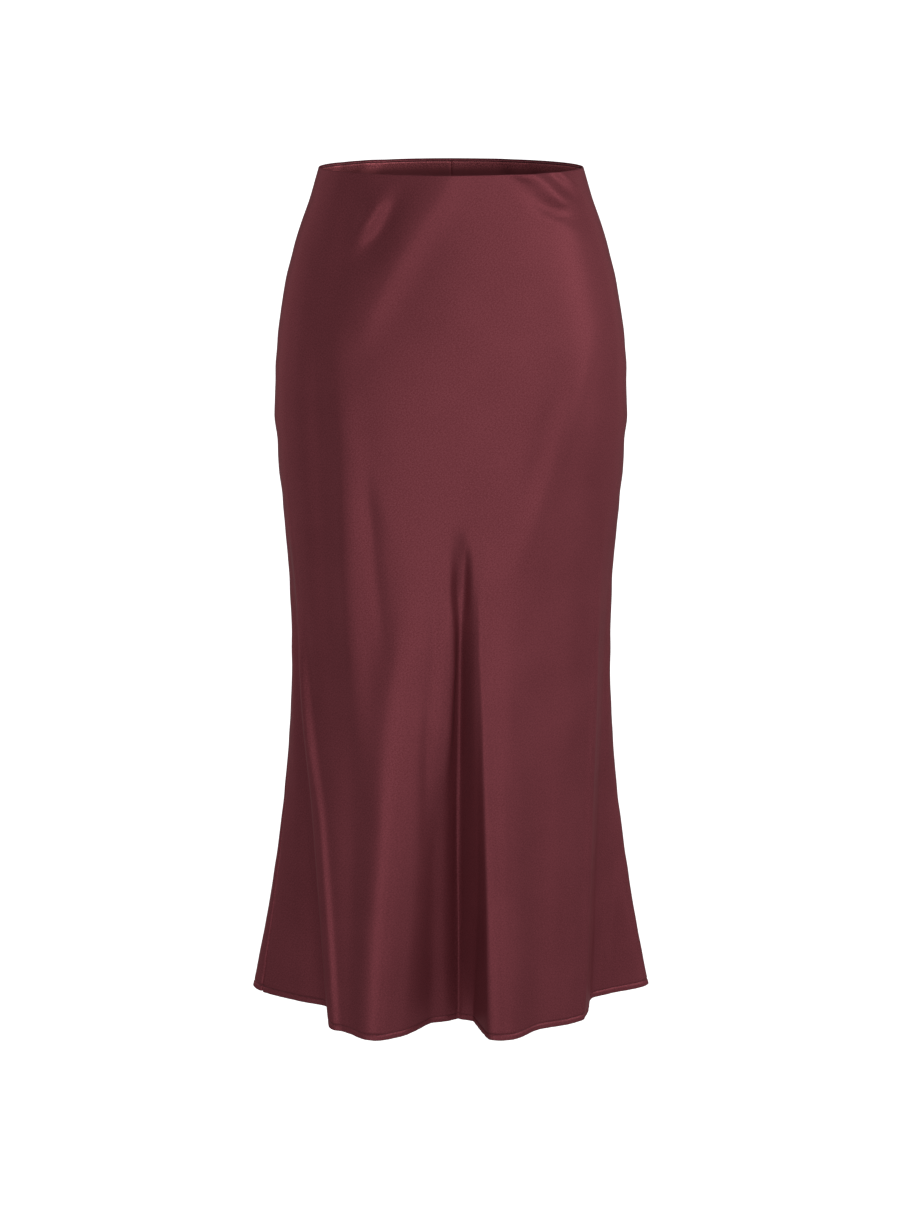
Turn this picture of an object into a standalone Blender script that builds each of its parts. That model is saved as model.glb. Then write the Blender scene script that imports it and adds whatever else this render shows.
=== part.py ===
"""A bias-cut satin skirt, filled out as it is when it is worn, with nobody in it.

Two panels, cut on the bias and joined at the sides, hang from a narrow facing that is turned
inside the waist. The cloth is smooth over the hips and falls into soft flutes below them.

Metres, +Z up, the front towards -Y. The origin is the centre of the waist opening, level with
its edge. Heights are given as a drop below that edge, and angles in degrees in plan: 0 is the
front centre, 90 the side at +X, 180 the back centre.
"""

import math
from collections import namedtuple

import bmesh
import bpy
import numpy as np

# Sizes, in metres.
SKIRT_DROP = 0.841  # from the waist edge to the hem
CLOTH = 0.0012  # the wall, measured level
SEAM_GAP = 0.0003  # between two pieces that are sewn together
HEM_TURN = 0.007  # the height of the hem, which is turned in twice
HEM_CLOTH = 0.0020  # the wall where the hem is turned in
HEM_STEP = 0.0006  # the height over which the wall thickens
FACING_TOP = 0.0010  # the drop of the facing's upper edge, rolled just inside the panels'
FACING_HEIGHT = 0.034
FACING_CLOTH = 0.0015  # the facing with its flat elastic

# How finely the solids are made.
PANEL_ROWS = 22
FRONT_COLUMNS = 60
BACK_COLUMNS = 54
FACING_ROWS = 2
FACING_COLUMNS = 72
ANGLES_LOOKED_AT = 1440  # steps round the skirt from which even lengths of cloth are measured
SHARP_ANGLE = math.radians(50)

SATIN_COLOUR = (0.150, 0.034, 0.042, 1.0)
SATIN_ROUGHNESS = 0.42
FACING_COLOUR = (0.125, 0.030, 0.038, 1.0)
FACING_ROUGHNESS = 0.55

# The skirt without its flutes: an oval at each drop, deeper behind than in front over the hips.
Section = namedtuple("Section", "drop half_width front_depth back_depth")
SECTIONS = (
    Section(0.000, 0.1290, 0.0975, 0.0975),
    Section(0.012, 0.1325, 0.0985, 0.1000),
    Section(0.040, 0.1415, 0.1015, 0.1075),
    Section(0.080, 0.1545, 0.1060, 0.1185),
    Section(0.125, 0.1648, 0.1105, 0.1285),
    Section(0.175, 0.1718, 0.1140, 0.1345),
    Section(0.230, 0.1744, 0.1165, 0.1360),
    Section(0.290, 0.1712, 0.1190, 0.1362),
    Section(0.350, 0.1662, 0.1225, 0.1368),
    Section(0.410, 0.1618, 0.1265, 0.1375),
    Section(0.470, 0.1604, 0.1310, 0.1385),
    Section(0.600, 0.1610, 0.1390, 0.1415),
    Section(SKIRT_DROP, 0.1630, 0.1500, 0.1500),
)

# The lines that the flutes follow down the cloth, in order round the skirt from the left side.
# Each leaves the smooth cloth at its start, and stands offset out from it (or in, below zero)
# at the hem. Growth is how its offset builds up: 1 evenly, more than 1 late, under 1 early.
FoldLine = namedtuple("FoldLine", "name start_angle hem_angle start_drop offset growth")
FOLD_LINES = (
    FoldLine("left side flute", -90.0, -89.5, 0.460, 0.0418, 1.68),
    FoldLine("left side valley edge", -87.0, -72.5, 0.340, 0.0030, 1.30),
    FoldLine("left side valley", -83.0, -62.0, 0.300, -0.0165, 1.10),
    FoldLine("left flute shoulder", -77.0, -40.8, 0.270, 0.0182, 1.10),
    FoldLine("left flute crest", -22.5, -25.4, 0.340, 0.0225, 1.00),
    FoldLine("left flute fall", -9.5, -18.2, 0.370, 0.0070, 1.00),
    FoldLine("small centre valley", -4.5, -9.6, 0.380, -0.0360, 1.60),
    FoldLine("centre valley left lip", 0.5, -3.0, 0.350, -0.0410, 1.10),
    FoldLine("centre valley floor", 6.4, 5.0, 0.342, -0.0450, 0.60),
    FoldLine("centre valley edge", 10.4, 11.4, 0.344, -0.0410, 1.15),
    FoldLine("centre valley right lip", 13.1, 13.2, 0.344, 0.0115, 0.72),
    FoldLine("centre flute crest", 23.0, 19.5, 0.350, 0.0190, 1.00),
    FoldLine("right dip", 36.0, 34.5, 0.420, 0.0035, 1.20),
    FoldLine("right flute crest", 56.0, 48.5, 0.340, 0.0102, 1.10),
    FoldLine("right flute shoulder", 72.0, 54.6, 0.300, 0.0065, 1.10),
    FoldLine("right side valley", 80.0, 73.0, 0.320, -0.0115, 1.10),
    FoldLine("right side valley edge", 85.0, 80.0, 0.360, 0.0035, 1.30),
    FoldLine("right side flute", 90.0, 90.5, 0.460, 0.0418, 1.68),
    FoldLine("back right valley", 100.0, 110.0, 0.360, -0.0140, 1.10),
    FoldLine("back right shoulder", 108.0, 130.0, 0.320, 0.0150, 1.10),
    FoldLine("back right crest", 138.0, 144.0, 0.340, 0.0190, 1.05),
    FoldLine("back centre valley edge", 160.0, 162.0, 0.370, -0.0200, 1.00),
    FoldLine("back centre valley", 170.0, 171.0, 0.360, -0.0340, 0.90),
    FoldLine("back centre shoulder", 180.0, 180.0, 0.360, 0.0070, 1.00),
    FoldLine("back centre crest", 194.0, 191.0, 0.370, 0.0185, 1.05),
    FoldLine("back left dip", 214.0, 211.0, 0.420, -0.0060, 1.15),
    FoldLine("back left crest", 236.0, 229.0, 0.350, 0.0150, 1.10),
    FoldLine("back left valley", 258.0, 250.0, 0.370, -0.0140, 1.10),
)
START_EASE = 0.15  # the share of a fold line's way over which it leaves the smooth cloth

# The side seams run straight down from the waist, and the left one swings forward at the hem.
Seam = namedtuple("Seam", "waist_angle hem_angle swing_drop")
LEFT_SEAM = Seam(-90.0, -83.5, 0.450)
RIGHT_SEAM = Seam(90.0, 92.5, 0.450)


def slopes_through(xs, ys):
    """The slope at each point of a curve that never overshoots the points it goes through."""
    steps = np.diff(xs)
    rises = np.diff(ys) / steps
    slopes = np.zeros(len(xs))
    before, after = rises[:-1], rises[1:]
    same_way = before * after > 0
    weight_before = 2 * steps[1:] + steps[:-1]
    weight_after = steps[1:] + 2 * steps[:-1]
    shares = weight_before[same_way] / before[same_way] + weight_after[same_way] / after[same_way]
    slopes[1:-1][same_way] = (weight_before + weight_after)[same_way] / shares
    slopes[0], slopes[-1] = rises[0], rises[-1]
    return slopes


def smooth_through(x, xs, ys):
    """The height at x of a smooth curve through the points (xs, ys)."""
    xs, ys = np.asarray(xs, float), np.asarray(ys, float)
    slopes = slopes_through(xs, ys)
    i = np.clip(np.searchsorted(xs, x, side="right") - 1, 0, len(xs) - 2)
    step = xs[i + 1] - xs[i]
    t = (x - xs[i]) / step
    start = (1 + 2 * t) * (1 - t) ** 2 * ys[i] + t * (1 - t) ** 2 * step * slopes[i]
    end = t * t * (3 - 2 * t) * ys[i + 1] + t * t * (t - 1) * step * slopes[i + 1]
    return start + end


def section_at(drop):
    """(half width, front depth, back depth) of the smooth oval at a drop."""
    drops = [s.drop for s in SECTIONS]
    return [
        float(smooth_through(drop, drops, [getattr(s, size) for s in SECTIONS]))
        for size in ("half_width", "front_depth", "back_depth")
    ]


def share_down(drop, start_drop):
    """How far down from its start to the hem a line has come, from 0 to 1."""
    return min(1.0, max(0.0, (drop - start_drop) / (SKIRT_DROP - start_drop)))


def fold_offsets(angles, drop):
    """How far the cloth stands out from the smooth oval at each angle."""
    line_angles, offsets = [], []
    for line in FOLD_LINES:
        share = share_down(drop, line.start_drop)
        eased = share * share * (1 + START_EASE) / (share + START_EASE)
        line_angles.append(line.start_angle + (line.hem_angle - line.start_angle) * share)
        offsets.append(line.offset * eased**line.growth)
    line_angles, offsets = np.array(line_angles), np.array(offsets)
    round_angles = np.concatenate([line_angles - 360, line_angles, line_angles + 360])
    return smooth_through(angles, round_angles, np.tile(offsets, 3))


def ring(angles, drop):
    """The outer face of the cloth in plan at a drop: an (x, y) for each angle."""
    half_width, front_depth, back_depth = section_at(drop)
    across, ahead = np.sin(np.radians(angles)), np.cos(np.radians(angles))
    depth = np.where(ahead > 0, front_depth, back_depth)
    oval = 1 / np.hypot(across / half_width, ahead / depth)
    radius = oval + fold_offsets(angles, drop)
    return np.stack([radius * across, -radius * ahead], axis=1)


def outward(angles, drop):
    """The level direction straight out of the cloth at each angle."""
    step = 0.05
    along = ring(angles + step, drop) - ring(angles - step, drop)
    out = np.stack([along[:, 1], -along[:, 0]], axis=1)
    return out / np.linalg.norm(out, axis=1)[:, None]


def seam_angle(seam, drop):
    """Where a side seam is at a drop."""
    share = share_down(drop, seam.swing_drop)
    return seam.waist_angle + (seam.hem_angle - seam.waist_angle) * share


def even_angles(first, last, drop, columns, trim=0.0):
    """Angles from first to last that part the ring at a drop into even lengths of cloth."""
    fine = np.linspace(first, last, ANGLES_LOOKED_AT)
    lengths = np.linalg.norm(np.diff(ring(fine, drop), axis=0), axis=1)
    along = np.concatenate([[0.0], np.cumsum(lengths)])
    wanted = np.linspace(trim, along[-1] - trim, columns + 1)
    return np.interp(wanted, along, fine)


def ring_points(angles, drop, inset):
    """The points of a ring that lies inset inside the cloth's outer face."""
    plan = ring(angles, drop) - inset * outward(angles, drop)
    return [(x, y, -drop) for x, y in plan]


def panel_drops():
    """The drops of a panel's rows: even ones, and then those that turn in the hem."""
    body = SKIRT_DROP - HEM_TURN - HEM_STEP
    even = [body * row / PANEL_ROWS for row in range(PANEL_ROWS + 1)]
    return even + [body + HEM_STEP, SKIRT_DROP]


def panel_wall(drop):
    """The thickness of a panel at a drop."""
    return CLOTH if drop < SKIRT_DROP - HEM_TURN - HEM_STEP / 2 else HEM_CLOTH


def wall_between(name, outer_rows, inner_rows, closed):
    """A solid wall between two grids of points. A closed one goes all the way round."""
    mesh = bmesh.new()
    outer = [[mesh.verts.new(p) for p in row] for row in outer_rows]
    inner = [[mesh.verts.new(p) for p in row] for row in inner_rows]
    rows = [(r, r + 1) for r in range(len(outer) - 1)]
    columns = [(c, c + 1) for c in range(len(outer[0]) - 1)]
    if closed:
        columns.append((len(outer[0]) - 1, 0))
    for a, b in columns:
        for up, down in rows:
            mesh.faces.new((outer[up][a], outer[down][a], outer[down][b], outer[up][b]))
            mesh.faces.new((inner[up][b], inner[down][b], inner[down][a], inner[up][a]))
        mesh.faces.new((outer[0][a], outer[0][b], inner[0][b], inner[0][a]))
        mesh.faces.new((outer[-1][b], outer[-1][a], inner[-1][a], inner[-1][b]))
    if not closed:
        for up, down in rows:
            mesh.faces.new((outer[up][0], inner[up][0], inner[down][0], outer[down][0]))
            mesh.faces.new((outer[up][-1], outer[down][-1], inner[down][-1], inner[up][-1]))
    bmesh.ops.triangulate(mesh, faces=mesh.faces, quad_method="SHORT_EDGE")
    bmesh.ops.recalc_face_normals(mesh, faces=mesh.faces)
    data = bpy.data.meshes.new(name)
    mesh.to_mesh(data)
    mesh.free()
    data.shade_smooth()
    data.set_sharp_from_angle(angle=SHARP_ANGLE)
    return bpy.data.objects.new(name, data)


def make_panel(name, left_seam, right_seam, columns):
    """A panel from one side seam to the other, with its hem turned in."""
    outer_rows, inner_rows = [], []
    for drop in panel_drops():
        first, last = seam_angle(left_seam, drop), seam_angle(right_seam, drop)
        if last < first:
            last += 360
        angles = even_angles(first, last, drop, columns, trim=SEAM_GAP / 2)
        outer_rows.append(ring_points(angles, drop, 0.0))
        inner_rows.append(ring_points(angles, drop, panel_wall(drop)))
    return wall_between(name, outer_rows, inner_rows, closed=False)


def make_facing(name):
    """The band inside the waist, made from the panels' own rings moved inwards."""
    outer_rows, inner_rows = [], []
    face = CLOTH + SEAM_GAP
    for row in range(FACING_ROWS + 1):
        drop = FACING_TOP + FACING_HEIGHT * row / FACING_ROWS
        angles = even_angles(0.0, 360.0, drop, FACING_COLUMNS)[:-1]
        outer_rows.append(ring_points(angles, drop, face))
        inner_rows.append(ring_points(angles, drop, face + FACING_CLOTH))
    return wall_between(name, outer_rows, inner_rows, closed=True)


def satin(name, colour, roughness):
    """A plain cloth material."""
    material = bpy.data.materials.new(name)
    material.use_nodes = True
    shader = material.node_tree.nodes["Principled BSDF"]
    shader.inputs["Base Color"].default_value = colour
    shader.inputs["Roughness"].default_value = roughness
    shader.inputs["Metallic"].default_value = 0.0
    material.diffuse_color = colour
    return material


def clear_scene():
    for obj in list(bpy.data.objects):
        bpy.data.objects.remove(obj)


def main():
    clear_scene()
    skirt = bpy.data.collections.new("bias_cut_skirt")
    bpy.context.scene.collection.children.link(skirt)
    shell = satin("satin", SATIN_COLOUR, SATIN_ROUGHNESS)
    lining = satin("facing_satin", FACING_COLOUR, FACING_ROUGHNESS)
    pieces = (
        (make_panel("front_panel", LEFT_SEAM, RIGHT_SEAM, FRONT_COLUMNS), shell),
        (make_panel("back_panel", RIGHT_SEAM, LEFT_SEAM, BACK_COLUMNS), shell),
        (make_facing("waist_facing"), lining),
    )
    for piece, material in pieces:
        piece.data.materials.append(material)
        skirt.objects.link(piece)


if __name__ == "__main__":
    main()
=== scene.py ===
"""The looks of a bias-cut satin skirt, filled out as it is when it is worn, with nobody in it.

The file is laid out as a Blender add-on and is run as a script. Metres, +Z up, the front
towards -Y. The origin is the centre of the waist opening, level with its edge. Heights are
given as a drop below that edge, and angles in degrees in plan: 0 is the front centre, 90 the
side at +X, 180 the back centre. Left and right are as seen from the front, but the creases
are placed on the cloth itself, as seen from outside it: so far across from the centre of their
panel, and so far down from the waist.
"""

import math
from collections import namedtuple

import bpy
import numpy as np
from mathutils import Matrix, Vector, noise


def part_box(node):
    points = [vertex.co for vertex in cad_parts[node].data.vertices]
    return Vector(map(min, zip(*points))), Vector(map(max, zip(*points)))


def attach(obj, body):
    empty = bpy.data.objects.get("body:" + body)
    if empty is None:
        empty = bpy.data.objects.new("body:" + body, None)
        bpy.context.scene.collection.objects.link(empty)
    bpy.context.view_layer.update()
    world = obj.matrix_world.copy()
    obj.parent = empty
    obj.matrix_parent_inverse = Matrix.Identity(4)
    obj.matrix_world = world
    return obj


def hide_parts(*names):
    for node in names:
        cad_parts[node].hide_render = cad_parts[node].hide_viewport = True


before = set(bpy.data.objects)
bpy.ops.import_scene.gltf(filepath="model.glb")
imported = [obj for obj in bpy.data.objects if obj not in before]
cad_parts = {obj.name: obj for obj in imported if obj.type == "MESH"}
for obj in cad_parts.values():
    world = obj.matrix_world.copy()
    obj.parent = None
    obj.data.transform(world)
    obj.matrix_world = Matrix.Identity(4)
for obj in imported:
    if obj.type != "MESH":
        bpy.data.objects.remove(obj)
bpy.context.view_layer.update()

bl_info = {
    "name": "Bias-cut satin skirt",
    "version": (1, 0, 0),
    "blender": (4, 5, 0),
    "location": "3D View > Sidebar > Skirt",
    "description": "Makes a filled-out bias-cut skirt in satin, with its seams, hem and facing",
    "category": "Object",
}

MM = 0.001


def table(kind, rows):
    """The rows of a table, each as a named tuple of its kind."""
    return tuple(kind(*row) for row in rows)


# ---- The shape of the cloth ----

SKIRT_DROP = -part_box("front_panel")[0].z
FACING_BOTTOM = -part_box("waist_facing")[0].z

# The skirt without its flutes: an oval at each drop, deeper behind than in front over the hips.
Section = namedtuple("Section", "drop half_width front_depth back_depth")
SECTIONS = table(Section, (
    (0, 0.129, 0.0975, 0.0975),
    (0.012, 0.1325, 0.0985, 0.1),
    (0.04, 0.1415, 0.1015, 0.1075),
    (0.08, 0.1545, 0.106, 0.1185),
    (0.125, 0.1648, 0.1105, 0.1285),
    (0.175, 0.1718, 0.114, 0.1345),
    (0.23, 0.1744, 0.1165, 0.136),
    (0.29, 0.1712, 0.119, 0.1362),
    (0.35, 0.1662, 0.1225, 0.1368),
    (0.41, 0.1618, 0.1265, 0.1375),
    (0.47, 0.1604, 0.131, 0.1385),
    (0.6, 0.161, 0.139, 0.1415),
    (SKIRT_DROP, 0.163, 0.15, 0.15),
))

# The lines that the flutes follow down the cloth, in order round the skirt from the left side.
# Each leaves the smooth cloth at its start, and stands offset out from it (or in, below zero)
# at the hem. Growth is how its offset builds up: 1 evenly, more than 1 late, under 1 early.
FoldLine = namedtuple("FoldLine", "name start_angle hem_angle start_drop offset growth")
FOLD_LINES = table(FoldLine, (
    ("left side flute", -90, -89.5, 0.46, 0.0418, 1.68),
    ("left side valley edge", -87, -72.5, 0.34, 0.003, 1.3),
    ("left side valley", -83, -62, 0.3, -0.0165, 1.1),
    ("left flute shoulder", -77, -40.8, 0.27, 0.0182, 1.1),
    ("left flute crest", -22.5, -25.4, 0.34, 0.0225, 1),
    ("left flute fall", -9.5, -18.2, 0.37, 0.007, 1),
    ("small centre valley", -5, -9.6, 0.38, -0.036, 1.45),
    ("centre valley left lip", -1, -3.5, 0.35, -0.041, 1.1),
    ("centre valley floor", 4.6, 3.2, 0.342, -0.045, 0.6),
    ("centre valley edge", 10.4, 11.4, 0.344, -0.041, 3),
    ("centre valley right lip", 13.1, 13.2, 0.344, 0.0115, 0.72),
    ("centre flute crest", 23, 19.5, 0.35, 0.019, 1),
    ("right dip", 36, 34.5, 0.42, 0.0035, 1.2),
    ("right flute crest", 56, 48.5, 0.34, 0.0102, 1.1),
    ("right flute shoulder", 72, 54.6, 0.3, 0.0065, 1.1),
    ("right side valley", 80, 73, 0.32, -0.0115, 1.1),
    ("right side valley edge", 85, 80, 0.36, 0.0035, 1.3),
    ("right side flute", 90, 90.5, 0.46, 0.0418, 1.68),
    ("back right valley", 100, 110, 0.36, -0.014, 1.1),
    ("back right shoulder", 108, 130, 0.32, 0.015, 1.1),
    ("back right crest", 138, 144, 0.34, 0.019, 1.05),
    ("back centre valley edge", 160, 162, 0.37, -0.02, 1),
    ("back centre valley", 170, 171, 0.36, -0.034, 0.9),
    ("back centre shoulder", 180, 180, 0.36, 0.007, 1),
    ("back centre crest", 194, 191, 0.37, 0.0185, 1.05),
    ("back left dip", 214, 211, 0.42, -0.006, 1.15),
    ("back left crest", 236, 229, 0.35, 0.015, 1.1),
    ("back left valley", 258, 250, 0.37, -0.014, 1.1),
))
START_EASE = 0.15  # the share of a fold line's way over which it leaves the smooth cloth

# The side seams run straight down from the waist to their swing. From there to the hem the
# left one swings forward, and the right one a little back.
Seam = namedtuple("Seam", "waist_angle hem_angle swing_drop")
LEFT_SEAM = Seam(-90.0, -83.5, 0.450)
RIGHT_SEAM = Seam(90.0, 92.5, 0.450)

# The soft creases of each panel, in millimetres. Each runs down the cloth through its places,
# (across, down), and fades out at both ends. Height is out of the cloth, or below zero into it,
# and left and right are the widths of its two flanks. A sharp one has an edge along its middle,
# and the others are round.
Crease = namedtuple("Crease", "name places height left right sharp", defaults=(False,))
FRONT_CREASES = table(Crease, (
    ("left waist long ridge", ((20, -60), (-10, 14), (-34, 50), (-60, 95), (-110, 190)),
     4.2, 28, 16),
    ("left waist trough", ((-50, 4), (-58, 28), (-67, 50), (-83, 74), (-104, 100)), -4.6, 10, 13),
    ("left waist streak", ((-64, 8), (-70, 26), (-79, 42), (-94, 66)), 3.8, 11, 10),
    ("left waist outer trough", ((-92, -30), (-104, 50), (-126, 150)), -1.8, 14, 12),
    ("left hip edge", ((-114, 110), (-106, 260), (-104, 390), (-99, 500), (-84, 640)), 3.4, 11, 16),
    ("left hip hollow", ((-142, 20), (-136, 300), (-124, 640)), -2.4, 15, 13),
    ("left thigh groove", ((-84, 250), (-76, 370), (-64, 490)), -1.5, 7, 8),
    ("left flute crest",
     ((-36, 320), (-50, 443), (-66, 520), (-78, 640), (-97, 760), (-111, 860), (-136, 1150)),
     6.0, 16, 22),
    ("left flute fall", ((-100, 420), (-110, 600), (-118, 830), (-132, 1100)), -2.6, 16, 13),
    ("left side hollow", ((-188, 480), (-183, 700), (-184, 840), (-190, 1100)), -3.6, 16, 14),
    ("left outer crest",
     ((-200, 230), (-182, 420), (-169, 500), (-158, 570), (-149, 640), (-145, 800), (-157, 1150)),
     4.0, 18, 5),
    ("left side fold", ((-176, 400), (-171, 450), (-167, 505), (-160, 565), (-153, 627)),
     2.4, 14, 5),
    ("centre valley apex", ((11, 325), (12, 384), (13.5, 435)), -3.4, 13, 7),
    ("small centre valley root", ((-12, 350), (-18, 440), (-23, 503), (-28, 565), (-35, 680)),
     -2.6, 8, 7),
    ("centre valley shoulder", ((2, 390), (0.5, 440), (-3, 500), (-7, 560), (-12, 620)),
     4.5, 13, 6),
    ("centre valley fold", ((9, 500), (8.5, 640), (8, 760), (7.4, 860), (6, 1150)),
     -4.5, 4, 4, True),
    ("right waist inner ridge", ((38, -10), (72, 26), (108, 47), (152, 74)), 1.8, 8, 8),
    ("right waist inner trough", ((40, -20), (58, 3), (84, 22), (100, 36), (124, 56)), -2.8, 11, 9),
    ("right waist hollow", ((80, 20), (100, 33), (124, 40), (142, 46)), -1.2, 9, 7),
    ("right waist middle ridge", ((52, -20), (75, -1), (99, 17), (116, 28), (146, 46)),
     4.4, 13, 10),
    ("right waist outer trough", ((90, -14), (113, 10), (127, 22), (148, 40)), -1.6, 8, 6),
    ("right waist outer ridge", ((98, -20), (112, 0), (130, 12), (152, 30)), 2.0, 7, 6),
    ("left drag line", ((-130, 180), (-80, 290), (-20, 400)), 0.9, 14, 14),
    ("right drag line", ((150, 130), (108, 260), (40, 430)), 1.5, 18, 12),
    ("right drag trough", ((126, 150), (94, 250), (60, 370)), -1.2, 12, 12),
    ("belly swell", ((10, 100), (0, 350)), 0.8, 40, 40),
    ("centre pinch left", ((-14, 300), (-2, 380), (-2, 520)), 1.0, 9, 6),
    ("centre pinch right", ((32, 300), (34, 400), (42, 520)), 1.2, 6, 9),
    ("right flute faint groove", ((64, 450), (80, 640), (100, 960)), -0.9, 6, 6),
    ("right plateau ripple", ((118, 430), (136, 620), (150, 840)), 0.9, 10, 10),
    ("right outer crest", ((164, 280), (178, 520), (181, 640), (187, 770), (210, 1100)), 2.8, 5, 8),
))
BACK_CREASES = table(Crease, (
    ("left waist long ridge", ((-30, -50), (-80, 70), (-130, 180)), 2.6, 18, 14),
    ("left waist trough", ((-54, -30), (-74, 40), (-106, 100)), -2.2, 10, 8),
    ("left waist streak", ((-80, -10), (-94, 36), (-122, 84)), 1.5, 7, 7),
    ("right waist ridge", ((58, -30), (98, 14), (152, 62)), 2.0, 6, 7),
    ("right waist trough", ((44, -30), (84, 22), (134, 78)), -2.1, 8, 6),
    ("right waist edge trough", ((90, -30), (126, 6), (166, 44)), -1.5, 5, 5),
    ("seat drag left", ((-150, 170), (-90, 280), (-30, 380)), 1.2, 14, 14),
    ("seat drag right", ((160, 180), (110, 300), (50, 420)), 1.4, 15, 13),
    ("seat hollow", ((0, 240), (6, 420)), -1.4, 26, 26),
    ("left hip edge", ((-124, 110), (-112, 300), (-86, 540)), 2.6, 12, 15),
    ("left hip hollow", ((-150, 40), (-142, 300), (-130, 600)), -1.9, 15, 13),
    ("right thigh groove", ((106, 260), (100, 380), (84, 540)), -1.6, 9, 8),
    ("left lower groove", ((-60, 460), (-70, 680), (-80, 900)), -2.2, 10, 9),
    ("left lower crest", ((-98, 400), (-106, 640), (-118, 900)), 1.9, 8, 10),
    ("right lower ripple", ((138, 440), (150, 660), (164, 900)), 1.7, 9, 8),
    ("right outer crest", ((184, 280), (196, 560), (214, 900)), 1.3, 4, 5),
))
CREASE_FADE = 0.40  # the share of its length over which a crease fades out at each end

# The seams pull the cloth beside them into small ripples that are neither even nor all alike.
Ripple = namedtuple("Ripple", "length height phase")
SEAM_RIPPLES = (
    Ripple(0.047, 0.38 * MM, 0.3),
    Ripple(0.061, 0.34 * MM, 1.9),
    Ripple(0.029, 0.18 * MM, 4.1),
)
SEAM_RIPPLE_REACH = 0.020
SEAM_RIPPLE_FROM = 0.110
SEAM_RIPPLE_TO = 0.420
SEAM_RIPPLE_REST = 0.35  # the share that is left of them above and below that stretch

# The hand of the cloth: slow swells all over, in two sizes.
Swell = namedtuple("Swell", "length height place")
CLOTH_SWELLS = (
    Swell(0.085, 0.55 * MM, (3.1, 0.4, 7.7)),
    Swell(0.034, 0.14 * MM, (9.2, 5.5, 1.3)),
)

OUTWARD_STEP = 0.05  # degrees to each side, which give the cloth's way out
FINE_ANGLES = 2880  # in a table of lengths along the cloth


def slopes_through(xs, ys):
    """The slope at each point of a curve that never overshoots the points it goes through."""
    steps = np.diff(xs)
    rises = np.diff(ys) / steps
    slopes = np.zeros(len(xs))
    before, after = rises[:-1], rises[1:]
    same_way = before * after > 0
    weight_before = 2 * steps[1:] + steps[:-1]
    weight_after = steps[1:] + 2 * steps[:-1]
    shares = weight_before[same_way] / before[same_way] + weight_after[same_way] / after[same_way]
    slopes[1:-1][same_way] = (weight_before + weight_after)[same_way] / shares
    slopes[0], slopes[-1] = rises[0], rises[-1]
    return slopes


def smooth_through(x, xs, ys):
    """The height at x of a smooth curve through the points (xs, ys)."""
    xs, ys = np.asarray(xs, float), np.asarray(ys, float)
    slopes = slopes_through(xs, ys)
    i = np.clip(np.searchsorted(xs, x, side="right") - 1, 0, len(xs) - 2)
    step = xs[i + 1] - xs[i]
    t = (x - xs[i]) / step
    start = (1 + 2 * t) * (1 - t) ** 2 * ys[i] + t * (1 - t) ** 2 * step * slopes[i]
    end = t * t * (3 - 2 * t) * ys[i + 1] + t * t * (t - 1) * step * slopes[i + 1]
    return start + end


def section_at(drop):
    """(half width, front depth, back depth) of the smooth oval at a drop."""
    drops = [s.drop for s in SECTIONS]
    return [
        float(smooth_through(drop, drops, [getattr(s, size) for s in SECTIONS]))
        for size in ("half_width", "front_depth", "back_depth")
    ]


def share_down(drop, start_drop):
    """How far down from its start to the hem a line has come, from 0 to 1."""
    return min(1.0, max(0.0, (drop - start_drop) / (SKIRT_DROP - start_drop)))


def fold_offsets(angles, drop):
    """How far the cloth stands out from the smooth oval at each angle."""
    line_angles, offsets = [], []
    for line in FOLD_LINES:
        share = share_down(drop, line.start_drop)
        eased = share * share * (1 + START_EASE) / (share + START_EASE)
        line_angles.append(line.start_angle + (line.hem_angle - line.start_angle) * share)
        offsets.append(line.offset * eased**line.growth)
    line_angles, offsets = np.array(line_angles), np.array(offsets)
    round_angles = np.concatenate([line_angles - 360, line_angles, line_angles + 360])
    return smooth_through(angles, round_angles, np.tile(offsets, 3))


def ring(angles, drop):
    """The outer face of the cloth in plan at a drop, without its creases: (x, y) by angle."""
    drop = min(max(drop, 0.0), SKIRT_DROP)
    half_width, front_depth, back_depth = section_at(drop)
    across, ahead = np.sin(np.radians(angles)), np.cos(np.radians(angles))
    depth = np.where(ahead > 0, front_depth, back_depth)
    oval = 1 / np.hypot(across / half_width, ahead / depth)
    radius = oval + fold_offsets(angles, drop)
    return np.stack([radius * across, -radius * ahead], axis=1)


def outward(angles, drop):
    """The level direction straight out of the cloth at each angle."""
    along = ring(angles + OUTWARD_STEP, drop) - ring(angles - OUTWARD_STEP, drop)
    out = np.stack([along[:, 1], -along[:, 0]], axis=1)
    return out / np.linalg.norm(out, axis=1)[:, None]


def seam_angle(seam, drop):
    """Where a side seam is at a drop."""
    share = share_down(drop, seam.swing_drop)
    return seam.waist_angle + (seam.hem_angle - seam.waist_angle) * share


def length_table(drop, first, last, middle):
    """Finely spaced angles at a drop, and how far along the cloth each is from the middle."""
    fine = np.linspace(first, last, FINE_ANGLES)
    lengths = np.linalg.norm(np.diff(ring(fine, drop), axis=0), axis=1)
    along = np.concatenate([[0.0], np.cumsum(lengths)])
    return fine, along - np.interp(middle, fine, along)


def round_table(drop):
    """The same for the whole way round, from the centre back and measured from the front."""
    return length_table(drop, -180.0, 180.0, 0.0)


def fade(share):
    """1 at nought, falling smoothly to nothing at 1 and past it."""
    return np.cos(np.clip(np.abs(share), 0, 1) * math.pi / 2) ** 2


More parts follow.
